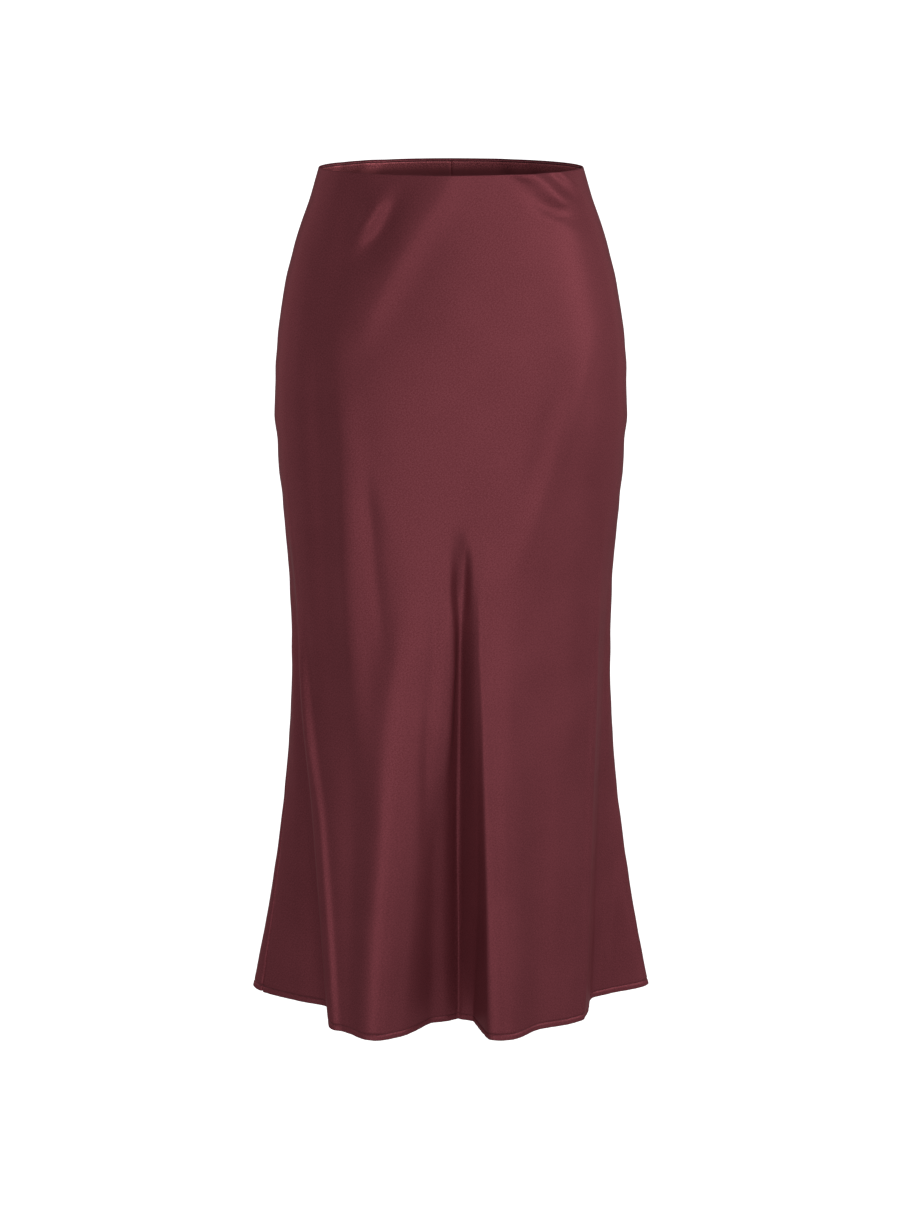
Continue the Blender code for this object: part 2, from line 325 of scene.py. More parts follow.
def crease_heights(creases, across, drop):
    """How far the creases lift the cloth, summed, at places across it at a drop."""
    height = np.zeros_like(across)
    for crease in creases:
        middles, downs = np.array(crease.places).T * MM
        if not downs[0] < drop < downs[-1]:
            continue
        share = (drop - downs[0]) / (downs[-1] - downs[0])
        strength = float(1 - fade(min(share, 1 - share) / CREASE_FADE))
        ahead = np.array([drop - MM, drop, drop + MM])
        before, middle, after = smooth_through(ahead, downs, middles)
        lean = math.hypot(1, (after - before) / (2 * MM))
        aside = (across - middle) / lean
        reach = np.abs(aside / np.where(aside < 0, crease.left * MM, crease.right * MM))
        shape = np.exp(-(reach if crease.sharp else reach**2))
        height += crease.height * MM * strength * shape
    return height


def seam_ripples(from_seam, drop):
    """The ripples that a side seam pulls into the cloth, by distance from the seam."""
    wave = sum(r.height * math.sin(2 * math.pi * drop / r.length + r.phase) for r in SEAM_RIPPLES)
    middle = (SEAM_RIPPLE_FROM + SEAM_RIPPLE_TO) / 2
    reach = (SEAM_RIPPLE_TO - SEAM_RIPPLE_FROM) / 2
    strength = SEAM_RIPPLE_REST + (1 - SEAM_RIPPLE_REST) * float(fade((drop - middle) / reach))
    return wave * strength * np.exp(-((from_seam / SEAM_RIPPLE_REACH) ** 2))


def cloth_swells(xy, drop):
    """The slow swells of the cloth at places in plan."""
    return np.array([
        sum(
            s.height * noise.noise(Vector((x, y, drop)) / s.length + Vector(s.place))
            for s in CLOTH_SWELLS
        )
        for x, y in xy
    ])


class Panel:
    """One panel of the skirt: where its cloth lies, with its creases."""

    def __init__(self, name, left_seam, right_seam, creases, crowds):
        self.name, self.creases, self.crowds = name, creases, crowds
        self.left_seam, self.right_seam = left_seam, right_seam

    def ends(self, drop):
        """The angles of its two seams and of its middle."""
        first, last = seam_angle(self.left_seam, drop), seam_angle(self.right_seam, drop)
        if last < first:
            last += 360
        return first, last, 0.0 if first < 0 else 180.0

    def width(self, drop):
        """How wide the cloth is at a drop."""
        along = length_table(drop, *self.ends(drop))[1]
        return along[-1] - along[0]

    def lift(self, across, along, plan, level):
        """How far creases, ripples and swells lift the cloth at places on it."""
        from_seam = np.minimum(across - along[0], along[-1] - across)
        lift = crease_heights(self.creases, across, level)
        return lift + seam_ripples(from_seam, level) + cloth_swells(plan, level)

    def row(self, drop, places, outset):
        """Points at a drop. Places are distances from the left seam, and outset is out of it."""
        level = min(max(drop, 0.0), SKIRT_DROP)
        fine, along = length_table(level, *self.ends(level))
        across = along[0] + places
        angles = np.interp(across, along, fine)
        plan = ring(angles, level)
        lift = self.lift(across, along, plan, level) + outset
        plan = plan + lift[:, None] * outward(angles, level)
        return np.column_stack([plan, np.full(len(plan), -drop)]), across


# Where across a panel the mesh is finer, as shares of its width.
Crowd = namedtuple("Crowd", "middle reach extra")
FRONT = Panel("front_panel", LEFT_SEAM, RIGHT_SEAM, FRONT_CREASES,
              (Crowd(0.21, 0.10, 1.0), Crowd(0.52, 0.12, 1.6), Crowd(0.497, 0.026, 11.0)))
BACK = Panel("back_panel", RIGHT_SEAM, LEFT_SEAM, BACK_CREASES, (Crowd(0.47, 0.12, 1.4),))

# ---- Meshes ----

PANEL_COLUMNS = 224
FINE_SHARES = 2001  # for the places of these columns
BODY_ROWS = 140
SEAM_COLUMNS = np.array((0.15, 0.5, 0.9, 1.4, 2.1)) * MM  # extra, beside each seam
COLUMNS_FROM = 3.8 * MM  # from a seam, where the others begin
SEAM_ROLL = 3.0 * MM  # how far the cloth rolls into a seam
SEAM_ROLL_WIDTH = 1.5 * MM
WAIST_ROLL_STEPS = 6
WAIST_INSIDE = (1.9 * MM, 1.0 * MM)  # rows inside the waist, below the middle of its roll
WAIST_ROWS = 4
WAIST_ROWS_FROM = 1.4 * MM
CLOSE_ROWS = 8.0 * MM  # near the waist and the hem's stitches, where the rows lie closer
HEM_FOLD_STEPS = 6
HEM_INSIDE_ROWS = 6
HEM_INSIDE_TO = 0.4 * MM  # below the turned edge, where these rows end
HEM_TUCK = ((0.1 * MM, 1.85), (0.0, 1.5))  # below that edge, and in by halves of the hem
HEM_STITCH_ABOVE_EDGE = 6.0 * MM
HEM_GROOVE = 0.8 * MM
HEM_GROOVE_WIDTH = 0.9 * MM
HEM_GROOVE_ROWS = (-6.5, -5, -3.6, -2.4, -1.5, -0.9, -0.45, 0, 0.45, 0.9, 1.5, 2.4, 3.6, 4.6)  # mm
HEM_ROPING = 0.16 * MM  # the slight twist of a narrow hem on the bias
HEM_ROPING_LENGTH = 0.0115
HEM_ROPING_REACH = 0.011
HEM_ROPING_SLANT = 0.6  # how far it moves along the hem on its way up
HEM_ROPING_DRIFT = 0.37  # the rate of a slower wave that makes it uneven
THREAD_SIDES = 6


def grid_mesh(name, rows, cuts):
    """A sheet through rows of points. Each point's place on the flat cloth becomes its UV."""
    rows, cuts = np.asarray(rows), np.asarray(cuts)
    height, width = rows.shape[:2]
    index = np.arange(height * width).reshape(height, width)
    quads = np.stack([index[:-1, :-1], index[1:, :-1], index[1:, 1:], index[:-1, 1:]], axis=-1)
    mesh = bpy.data.meshes.new(name)
    mesh.from_pydata(rows.reshape(-1, 3).tolist(), [], quads.reshape(-1, 4).tolist())
    layer = mesh.uv_layers.new(name="cut")
    corners = np.empty(len(mesh.loops), int)
    mesh.loops.foreach_get("vertex_index", corners)
    layer.data.foreach_set("uv", cuts.reshape(-1, 2)[corners].astype(np.float32).ravel())
    mesh.shade_smooth()
    return mesh


def flat_places(across, down):
    """Where a row of points lies on the flat cloth."""
    return np.column_stack([across, np.full(len(across), -down)])


def add_piece(name, mesh, materials):
    """Puts a mesh into the scene as a piece of the skirt."""
    piece = bpy.data.objects.new(name, mesh)
    for material in materials:
        mesh.materials.append(material)
    bpy.context.scene.collection.objects.link(piece)
    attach(piece, "root")
    return piece


def thicken(piece, thickness):
    """Gives a sheet its thickness, on its wrong side, which takes the second material."""
    solid = piece.modifiers.new("cloth thickness", "SOLIDIFY")
    solid.thickness = thickness
    solid.offset = -1
    solid.material_offset = 1
    solid.use_even_offset = False


def thread_tubes(name, paths, outs, radius):
    """Lengths of thread as one mesh. Paths and outs are (threads, points, 3)."""
    threads, points = paths.shape[:2]
    along = np.gradient(paths, axis=1)
    along /= np.linalg.norm(along, axis=2)[..., None]
    aside = np.cross(along, outs)
    aside /= np.linalg.norm(aside, axis=2)[..., None]
    up = np.cross(aside, along)
    turn = (np.arange(THREAD_SIDES) * 2 * math.pi / THREAD_SIDES)[:, None]
    round_thread = np.cos(turn) * up[..., None, :] + np.sin(turn) * aside[..., None, :]
    verts = paths[..., None, :] + radius * round_thread
    index = np.arange(threads * points * THREAD_SIDES).reshape(threads, points, THREAD_SIDES)
    beside = np.roll(index, -1, axis=2)
    walls = np.stack([index[:, :-1], beside[:, :-1], beside[:, 1:], index[:, 1:]], axis=-1)
    faces = walls.reshape(-1, 4).tolist()
    faces += index[:, 0, ::-1].tolist() + index[:, -1].tolist()
    mesh = bpy.data.meshes.new(name)
    mesh.from_pydata(verts.reshape(-1, 3).tolist(), [], faces)
    mesh.shade_smooth()
    return mesh


def seam_roll(from_seam):
    """How far the cloth has rolled in at a distance from its seam."""
    return SEAM_ROLL * np.exp(-((from_seam / SEAM_ROLL_WIDTH) ** 2))


def panel_path(sizes):
    """The way that a panel's right side takes: (drop, inset) from inside the waist, over its
    edge, down, round the hem's fold and up inside to the turned edge."""
    roll, fold = sizes.waist_roll / 2, sizes.hem_thickness / 2
    over = np.linspace(math.pi, 0, WAIST_ROLL_STEPS + 1)
    waist = [(roll - roll * math.sin(a), roll - roll * math.cos(a)) for a in over]
    start = [(roll + down, 2 * roll) for down in WAIST_INSIDE]
    line = SKIRT_DROP - HEM_STITCH_ABOVE_EDGE
    drops = np.linspace(WAIST_ROWS_FROM, CLOSE_ROWS, WAIST_ROWS, endpoint=False)
    body = [(d, 0.0) for d in (*drops, *np.linspace(CLOSE_ROWS, line - CLOSE_ROWS, BODY_ROWS))]
    hem = [(line + d * MM, 0.0) for d in HEM_GROOVE_ROWS]
    under = np.linspace(0, math.pi, HEM_FOLD_STEPS + 1)
    low = SKIRT_DROP - fold
    bottom = [(low + fold * math.sin(a), fold - fold * math.cos(a)) for a in under]
    edge = SKIRT_DROP - sizes.hem_turn
    drops = np.linspace(low, edge + HEM_INSIDE_TO, HEM_INSIDE_ROWS + 1)[1:]
    inside = [(d, 2 * fold) for d in drops]
    tuck = [(edge + below, share * fold) for below, share in HEM_TUCK]
    return start + waist + body + hem + bottom + inside + tuck


def crowded_shares(count, crowds):
    """Shares of a width from 0 to 1 that lie closer together where the folds are sharpest."""
    fine = np.linspace(0, 1, FINE_SHARES)
    density = 1 + sum(c.extra * fade((fine - c.middle) / c.reach) for c in crowds)
    steps = np.concatenate([[0.0], np.cumsum(density[1:] + density[:-1])])
    return np.interp(np.linspace(0, 1, count), steps / steps[-1], fine)


def panel_mesh(panel, sizes):
    """A panel's cloth, with its edges rolled into the seams and its hem turned."""
    rows, cuts = [], []
    shares = crowded_shares(PANEL_COLUMNS, panel.crowds)
    travelled = 0.0
    before = None
    for drop, inset in panel_path(sizes):
        width = panel.width(drop)
        even = COLUMNS_FROM + (width - 2 * COLUMNS_FROM) * shares
        places = np.concatenate([SEAM_COLUMNS, even, width - SEAM_COLUMNS[::-1]])
        from_seam = np.minimum(places, width - places)
        outset = -inset - seam_roll(from_seam)
        above_edge = SKIRT_DROP - drop
        line = (above_edge - HEM_STITCH_ABOVE_EDGE) / HEM_GROOVE_WIDTH
        if inset == 0.0:
            outset = outset - HEM_GROOVE * math.exp(-(line**2))
        roping = HEM_ROPING * float(fade(above_edge / HEM_ROPING_REACH))
        twist = 2 * math.pi * (places + HEM_ROPING_SLANT * above_edge) / HEM_ROPING_LENGTH
        drift = 0.5 * np.sin(HEM_ROPING_DRIFT * twist + 1.0)
        outset = outset + roping * (np.sin(twist) + drift)
        points, across = panel.row(drop, places, outset)
        if before is not None:
            travelled += math.hypot(drop - before[0], inset - before[1])
        before = (drop, inset)
        rows.append(points)
        cuts.append(flat_places(across, travelled))
    return grid_mesh(panel.name + "_cloth", rows, cuts)


# ---- Shaders ----


class Wire:
    """One output of a shader's nodes. Sums and products with it add Math nodes."""

    def __init__(self, surface, socket):
        self.surface, self.socket = surface, socket

    def maths(self, operation, *values):
        return self.surface.node("ShaderNodeMath", {"operation": operation}, values)

    def __add__(self, other):
        return self.maths("ADD", self, other)

    __radd__ = __add__

    def __sub__(self, other):
        return self.maths("SUBTRACT", self, other)

    def __rsub__(self, other):
        return self.maths("SUBTRACT", other, self)

    def __mul__(self, other):
        return self.maths("MULTIPLY", self, other)

    __rmul__ = __mul__


class Surface:
    """A material and its nodes."""

    def __init__(self, name):
        self.material = bpy.data.materials.new(name)
        self.material.use_nodes = True
        self.tree = self.material.node_tree
        self.shader = self.tree.nodes["Principled BSDF"]

    def node(self, kind, settings=None, values=(), output=0):
        """Adds a node: its settings first, then the values or links of its sockets."""
        node = self.tree.nodes.new(kind)
        for key, value in (settings or {}).items():
            setattr(node, key, value)
        pairs = values.items() if isinstance(values, dict) else enumerate(values)
        for key, value in pairs:
            self.feed(node.inputs[key], value)
        return Wire(self, node.outputs[output])

    def feed(self, socket, value):
        """Links a wire to a socket, or sets the socket's own value."""
        if isinstance(value, Wire):
            self.tree.links.new(value.socket, socket)
        else:
            socket.default_value = value

    def set(self, **values):
        """Feeds the shader's sockets, named with _ for a space."""
        for key, value in values.items():
            self.feed(self.shader.inputs[key.replace("_", " ")], value)

    def mix(self, share, a, b):
        """One colour towards another."""
        sockets = {0: share, 6: a, 7: b}
        return self.node("ShaderNodeMix", {"data_type": "RGBA"}, sockets, output=2)

    def vector(self, operation, *values):
        return self.node("ShaderNodeVectorMath", {"operation": operation}, values)

    def noise(self, place, scale, detail=2.0, roughness=0.5):
        values = {"Vector": place, "Scale": scale, "Detail": detail, "Roughness": roughness}
        return self.node("ShaderNodeTexNoise", None, values)

    def bump(self, distance, height):
        values = {"Strength": 0.6, "Distance": distance, "Height": height}
        return self.node("ShaderNodeBump", None, values)


PAINTED_LIGHT_TO = 5.0 * MM  # how far down the inside of the waist the painted light stays full
PAINTED_SHADE_FROM = 14.0 * MM  # from here down the facing takes its full painted shade
TWILL_SCALE = 700 / math.pi / 2  # a very faint band every 2.8 mm across one diagonal
TWILL_WANDER = {"Distortion": 2.5, "Detail": 2.0, "Detail Scale": 60.0}
SLUB_SCALES = (1350.0, 1250.0)  # of the uneven threads of the warp and of the weft
SLUB_STRETCH = 0.45  # a scale's share along its thread, which draws its slubs out
CLOUD_SCALE = 16.0  # of the slow changes of tone over the cloth
GRAIN_CONTRAST = 5.5
CLOUD_CONTRAST = 0.8
TONE_SHARE = 0.75  # how much of the cloth's colour its threads' tones take up
WEAVE_HEIGHT = 0.06 * MM
SATIN_GLINT = (0.70, 0.26, 0.30, 1.0)  # the tint of what it mirrors
FUZZ_SCALE = 2600.0  # of the fibres of the sewing thread
PAPER_SCALE = 3.0


def bias_cloth(name, colour, dark, bright, roughness, metallic, weave_height, painted_shade_colour=None):
    """Satin on the bias: its threads run at 45 degrees to the centre line.

    The last argument is the colour of painted shade that the cloth takes on lower down inside the
    waist.
    """
    s = Surface(name)
    cut = s.node("ShaderNodeUVMap", {"uv_map": "cut"})
    turned = s.node(
        "ShaderNodeMapping", None, {"Vector": cut, "Rotation": (0.0, 0.0, math.radians(45))},
    )
    twill = s.node(
        "ShaderNodeTexWave", None,
        {"Vector": turned, "Scale": TWILL_SCALE, **TWILL_WANDER}, output=1,
    )
    warp, weft = (
        s.noise(s.vector("MULTIPLY", turned, stretch), scale)
        for stretch, scale in zip(((1.0, SLUB_STRETCH, 1.0), (SLUB_STRETCH, 1.0, 1.0)), SLUB_SCALES)
    )
    clouds = s.noise(cut, CLOUD_SCALE, detail=3.0, roughness=0.55)
    grain = 0.03 * twill + 0.50 * warp + 0.47 * weft
    tone = 0.5 + GRAIN_CONTRAST * (grain - 0.5) + CLOUD_CONTRAST * (clouds - 0.5)
    shade = s.mix(TONE_SHARE, colour, s.mix(tone, dark, bright))
    # Painted shade: the colour darkens smoothly between two drops below the waist edge.
    if painted_shade_colour is not None:
        height = s.node("ShaderNodeSeparateXYZ", None, {"Vector": cut}, output=1)
        painted_light_share = s.node(
            "ShaderNodeMapRange", {"interpolation_type": "SMOOTHSTEP"},
            {"Value": height, "From Min": -PAINTED_SHADE_FROM, "From Max": -PAINTED_LIGHT_TO},
        )
        shade = s.mix(painted_light_share, painted_shade_colour, shade)
    s.set(
        Base_Color=shade,
        Roughness=roughness + 0.10 * (clouds - 0.5) + 0.30 * (0.5 - grain),
        Metallic=metallic,
        Normal=s.bump(weave_height, grain),
    )
    return s


def satin_right_side(look):
    """The shining side. Its lustre is an eighth of a turn round, to lie along the threads."""
    s = bias_cloth("satin_right_side", look.satin, look.satin_dark, look.satin_bright,
                   look.satin_roughness, look.satin_lustre, WEAVE_HEIGHT)
    s.set(Anisotropic=0.30, Anisotropic_Rotation=0.125, Specular_IOR_Level=0.12,
          Specular_Tint=SATIN_GLINT, Sheen_Weight=0.03, Sheen_Roughness=0.45,
          Sheen_Tint=(0.80, 0.36, 0.40, 1.0))
    return s.material


def facing_satin(look):
    """The same satin inside the waist, its colours brightened as painted light, with painted shade
    lower down.
    """
    s = bias_cloth("facing_satin", look.facing, look.satin, look.facing_bright_painted_light,
                   look.satin_roughness, look.satin_lustre, WEAVE_HEIGHT, look.facing_deep)
    s.set(Specular_IOR_Level=0.12, Specular_Tint=SATIN_GLINT, Sheen_Weight=0.03)
    return s.material


def satin_wrong_side(look):
    """The dull side of the satin."""
    s = bias_cloth("satin_wrong_side", look.wrong_side, look.satin_dark, look.wrong_side,
                   roughness=0.72, metallic=0.0, weave_height=0.08 * MM)
    s.set(Specular_IOR_Level=0.35, Sheen_Weight=0.12, Sheen_Roughness=0.6)
    return s.material


def sewing_thread(look):
    """The thread of the hem and of the understitching. Its dark colour is partly the thread's own
    and partly painted shade of its needle holes.
    """
    s = Surface("sewing_thread")
    fuzz = s.noise(s.node("ShaderNodeTexCoord", output=3), FUZZ_SCALE)
    s.set(
        Base_Color=s.mix(fuzz, look.thread_dark, look.thread),
        Roughness=0.50 + 0.2 * (fuzz - 0.5),
        Normal=s.bump(0.05 * MM, fuzz),
    )
    s.set(Sheen_Weight=0.15, Sheen_Roughness=0.4)
    return s.material


def studio_white(name, glow):
    """The pale paper of the studio."""
    s = Surface(name)
    clouds = s.noise(s.node("ShaderNodeTexCoord", output=3), PAPER_SCALE)
    s.set(
        Base_Color=s.mix(clouds, (0.86, 0.86, 0.86, 1.0), (0.90, 0.90, 0.90, 1.0)),
        Roughness=0.9, Emission_Color=(1.0, 1.0, 1.0, 1.0), Emission_Strength=glow,
    )
    return s.material


# ---- Settings, operators and panel ----


def length(name, description, default):
    """A setting that is a length."""
    return bpy.props.FloatProperty(
        name=name, description=description, default=default, min=0.0, precision=4,
        unit="LENGTH", subtype="DISTANCE",
    )


def colour(name, description, default):
    """A setting that is a colour."""
    return bpy.props.FloatVectorProperty(
        name=name, description=description, default=(*default, 1.0), size=4, min=0.0, max=1.0,
        subtype="COLOR",
    )


def factor(name, description, default):
    """A setting from 0 to 1."""
    return bpy.props.FloatProperty(
        name=name, description=description, default=default, min=0.0, max=1.0, subtype="FACTOR",
    )


class SkirtSizes(bpy.types.PropertyGroup):
    """The sizes of the cloth and the sewing."""

    cloth: length("Cloth", "Thickness of the satin", 0.4 * MM)
    waist_roll: length("Waist roll", "How thick the rolled waist edge is", 1.2 * MM)
    hem_turn: length("Hem", "Height of the turned hem", 7.0 * MM)
    hem_thickness: length("Hem thickness", "Thickness of the turned hem", 1.3 * MM)
    seam_turning: length("Seam turning", "Width of each side seam's turning", 10.5 * MM)
    hem_stitch: length("Hem stitch", "Length of a stitch of the hem", 2.6 * MM)
    under_stitch: length("Understitch", "Length of a stitch below the waist edge", 2.2 * MM)
    thread: length("Thread", "Thickness of the sewing thread", 0.26 * MM)


class SkirtLook(bpy.types.PropertyGroup):
    """The colours and the finish of the cloth and the thread."""

    satin: colour("Satin", "The satin's right side", (0.210, 0.050, 0.062))
    satin_dark: colour("Satin, dark", "The darker threads", (0.165, 0.038, 0.048))
    satin_bright: colour("Satin, bright", "The brighter threads", (0.260, 0.064, 0.080))
    # The facing's colour and its brighter threads are the satin made far brighter: painted light on
    # the inside of the waist.
    facing: colour("Facing", "The facing's right side", (0.740, 0.190, 0.222))
    facing_bright_painted_light: colour("Facing, bright", "Its brighter threads", (0.860, 0.228, 0.262))
    # The facing's darker colour lower down is painted shade.
    facing_deep: colour("Facing, deep", "The facing lower down", (0.340, 0.085, 0.100))
    wrong_side: colour("Wrong side", "The satin's wrong side", (0.105, 0.025, 0.032))
    # Darker than the satin: partly the thread's own colour, partly painted shade of its needle
    # holes.
    thread: colour("Thread", "The sewing thread", (0.050, 0.012, 0.017))
    thread_dark: colour("Thread, dark", "The thread between its fibres", (0.024, 0.006, 0.008))
    satin_roughness: factor("Satin roughness", "0 is a mirror, 1 is matt", 0.44)
    satin_lustre: factor("Satin lustre", "How much of its shine takes the cloth's colour", 0.45)


class SkirtStudio(bpy.types.PropertyGroup):
    """The studio that the skirt is shown in."""

    floor_drop: length("Floor", "How far the floor is below the waist", 1.150)
    camera_distance: length("Camera distance", "From the camera to the waist", 3.000)
    camera_height: length("Camera height", "Of the camera above the waist", 0.262)
    camera_tilt: bpy.props.FloatProperty(
        name="Camera tilt", description="How far the camera looks down",
        default=math.radians(13.089), subtype="ANGLE",
    )
    lens: bpy.props.FloatProperty(
        name="Lens", description="Focal length for a long side of 36 mm", default=91.54,
        min=1.0, subtype="DISTANCE_CAMERA",
    )


AREA_LEVELS = 60  # at which a panel's width is measured for its area


class SKIRT_OT_panels(bpy.types.Operator):
    """Make the front and the back panel"""

    bl_idname = "skirt.panels"
    bl_label = "Panels"

    def execute(self, context):
        sizes, look = context.scene.skirt_sizes, context.scene.skirt_look
        materials = [satin_right_side(look), satin_wrong_side(look)]
        for panel in (FRONT, BACK):
            cloth = add_piece(panel.name + "_cloth", panel_mesh(panel, sizes), materials)
            thicken(cloth, sizes.cloth)
            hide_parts(panel.name)
            hem_width = panel.width(SKIRT_DROP)
            panel_area(panel, sizes)
        return {"FINISHED"}


def panel_area(panel, sizes):
    """The flat area of what a panel shows, with its turned hem."""
    widths = [panel.width(d) for d in np.linspace(0, SKIRT_DROP, AREA_LEVELS)]
    return float(np.mean(widths) * SKIRT_DROP + widths[-1] * sizes.hem_turn)


FACING_COLUMNS = 260
FACING_FACE = 1.9 * MM  # how far the facing's face lies inside the panels' right side
FACING_EDGE_DROP = 1.5 * MM
FACING_EDGE = ((1.0, 0.40), (0.3, 0.38), (0.0, 0.2), (0.2, 0.03))  # its turn: (down, out), in mm
FACING_UPPER_ROWS = (0.6 * MM, 6.0 * MM, 9)  # (below its edge, to a drop, count)
FACING_LOWER_ROWS = (8.0 * MM, 14)
FACING_JOIN_ANGLE = 179.99  # its two ends meet at the centre back
FACING_JOIN_ROLL = 0.08  # how far they roll in there, as a share of a side seam's roll
UNDERSTITCH_DROP = 3.2 * MM
UNDERSTITCH_GROOVE = 0.45 * MM
UNDERSTITCH_GROOVE_WIDTH = 0.6 * MM
UNDERSTITCH_SHARE = 0.6  # as STITCH_SHARE
UNDERSTITCH_RADIUS = 0.9  # of its thread, by the hem thread's thickness


def facing_row(drop, angles, inset):
    """Points of the facing at a drop, inset from the panels' right side, creases and all."""
    plan = ring(angles, drop)
    lift = -inset
    for panel in (FRONT, BACK):
        fine, along = length_table(drop, *panel.ends(drop))
        turned = np.where(angles < fine[0], angles + 360, angles)
        turned = np.where(turned > fine[-1], turned - 360, turned)
        inside = (turned >= fine[0]) & (turned <= fine[-1])
        across = np.interp(turned[inside], fine, along)
        lift[inside] += panel.lift(across, along, plan[inside], drop)
    plan = plan + lift[:, None] * outward(angles, drop)
    return np.column_stack([plan, np.full(len(plan), -drop)])


class SKIRT_OT_facing(bpy.types.Operator):
    """Make the facing inside the waist"""

    bl_idname = "skirt.facing"
    bl_label = "Waist facing"

    def execute(self, context):
        sizes, look = context.scene.skirt_sizes, context.scene.skirt_look
        face, edge = FACING_FACE, FACING_EDGE_DROP
        path = [(edge + down * MM, face - out * MM) for down, out in FACING_EDGE]
        upper_from, upper_to, upper_count = FACING_UPPER_ROWS
        lower_from, lower_count = FACING_LOWER_ROWS
        path += [(d, face) for d in np.linspace(edge + upper_from, upper_to, upper_count)]
        path += [(d, face) for d in np.linspace(lower_from, FACING_BOTTOM, lower_count)]
        angles = np.linspace(FACING_JOIN_ANGLE, -FACING_JOIN_ANGLE, FACING_COLUMNS)
        rows, cuts = [], []
        for drop, inset in path:
            from_stitches = (drop - UNDERSTITCH_DROP) / UNDERSTITCH_GROOVE_WIDTH
            groove = UNDERSTITCH_GROOVE * math.exp(-(from_stitches**2))
            fine, along = round_table(drop)
            across = np.interp(angles, fine, along)
            from_join = along[-1] - np.abs(across)
            insets = inset - groove - FACING_JOIN_ROLL * seam_roll(from_join)
            rows.append(facing_row(drop, angles, insets))
            cuts.append(flat_places(across, drop))
        mesh = grid_mesh("waist_facing_cloth", rows, cuts)
        materials = [facing_satin(look), bpy.data.materials["satin_wrong_side"]]
        facing = add_piece("waist_facing_cloth", mesh, materials)
        thicken(facing, sizes.cloth)
        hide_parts("waist_facing")
        round_waist = float(round_table(FACING_BOTTOM)[1][-1] * 2)
        return {"FINISHED"}


# The side seams' turnings: (name, panel, whether it lies at the panel's left seam). Front and
# back in the names follow the left seam, so at the right seam they are the other way round.
TURNINGS = (
    ("left_seam_turning_front", FRONT, True),
    ("left_seam_turning_back", BACK, False),
    ("right_seam_turning_front", BACK, True),
    ("right_seam_turning_back", FRONT, False),
)
TURNING_ROWS = 120
TURNING_FROM = 6.0 * MM  # where a turning starts, below the waist
TURNING_TO = 1.0 * MM  # where it ends, above the turned hem
TURNING_COLUMNS = 7
TURNING_BESIDE = 0.4 * MM  # its distance from its seam
TURNING_INSET = 0.75 * MM  # how far inside the panel's right side it lies
TURNING_THICKNESS = 0.7  # as a share of the cloth's


class SKIRT_OT_seams(bpy.types.Operator):
    """Make the turnings of the side seams, pressed open inside"""

    bl_idname = "skirt.seams"
    bl_label = "Side seam turnings"

    def execute(self, context):
        sizes = context.scene.skirt_sizes
        materials = [bpy.data.materials["satin_wrong_side"]] * 2
        steps = np.linspace(TURNING_BESIDE, sizes.seam_turning, TURNING_COLUMNS)
        rolled = seam_roll(steps) + TURNING_INSET
        drops = np.linspace(TURNING_FROM, SKIRT_DROP - sizes.hem_turn - TURNING_TO, TURNING_ROWS)
        for name, panel, at_left in TURNINGS:
            rows, cuts = [], []
            for drop in drops:
                places = steps if at_left else panel.width(drop) - steps[::-1]
                insets = rolled if at_left else rolled[::-1]
                points, across = panel.row(drop, places, -insets)
                rows.append(points[::-1])
                cuts.append(flat_places(across, drop)[::-1])
            piece = add_piece(name, grid_mesh(name, rows, cuts), materials)
            thicken(piece, sizes.cloth * TURNING_THICKNESS)
        return {"FINISHED"}


class SKIRT_OT_stitching(bpy.types.Operator):
    """Sew the hem and the waist edge"""

    bl_idname = "skirt.stitching"
    bl_label = "Stitching"

    def execute(self, context):
        sizes, look = context.scene.skirt_sizes, context.scene.skirt_look
        thread = sewing_thread(look)
        for panel in (FRONT, BACK):
            name = panel.name.replace("_panel", "") + "_hem_stitches"
            mesh = thread_tubes(name, *hem_stitches(panel, sizes), sizes.thread / 2)
            add_piece(name, mesh, [thread])
        radius = sizes.thread * UNDERSTITCH_RADIUS
        mesh = thread_tubes("waist_understitching", *facing_stitches(sizes), radius)
        add_piece("waist_understitching", mesh, [thread])
        return {"FINISHED"}


STITCH_SHARE = 0.80  # of a stitch's length that shows as thread
STITCHES_FROM = 0.5 * MM  # where the hem's stitches start, from each seam
STITCH_PLACES = np.array((0.0, 0.12, 0.5, 0.88, 1.0))
STITCH_RISES = np.array((-0.9, 0.35, 0.6, 0.35, -0.9))  # out of the cloth, in thread radii


def stitches(first, total, stitch, share, thread):
    """A sewn line's stitches: their places along it, and how far out they stand."""
    count = int(total / stitch)
    starts = first + np.arange(count) * total / count
    places = (starts[:, None] + STITCH_PLACES * stitch * share).ravel()
    return places, np.tile(STITCH_RISES * thread / 2, count)


def thread_paths(points, beyond):
    """The points of a sewn line by stitch, and the way out of the cloth at each."""
    shape = (-1, len(STITCH_PLACES), 3)
    return points.reshape(shape), (beyond - points).reshape(shape)


def hem_stitches(panel, sizes):
    """The row of stitches along a panel's hem, in the groove that they pull."""
    drop = SKIRT_DROP - HEM_STITCH_ABOVE_EDGE
    total = panel.width(drop) - 2 * STITCHES_FROM
    places, rises = stitches(STITCHES_FROM, total, sizes.hem_stitch, STITCH_SHARE, sizes.thread)
    rises = rises - HEM_GROOVE
    rows = [panel.row(drop, places, out)[0] for out in (rises, rises + 1 * MM)]
    return thread_paths(*rows)


def facing_stitches(sizes):
    """The row of stitches just below the waist edge, on the facing."""
    drop, stitch = UNDERSTITCH_DROP, sizes.under_stitch
    fine, along = round_table(drop)
    total = along[-1] - along[0]
    places, rises = stitches(along[0], total, stitch, UNDERSTITCH_SHARE, sizes.thread)
    angles = np.interp(places, along, fine)
    insets = FACING_FACE - UNDERSTITCH_GROOVE + rises
    rows = [facing_row(drop, angles, inset) for inset in (insets, insets + 1 * MM)]
    return thread_paths(*rows)


# ---- The studio ----

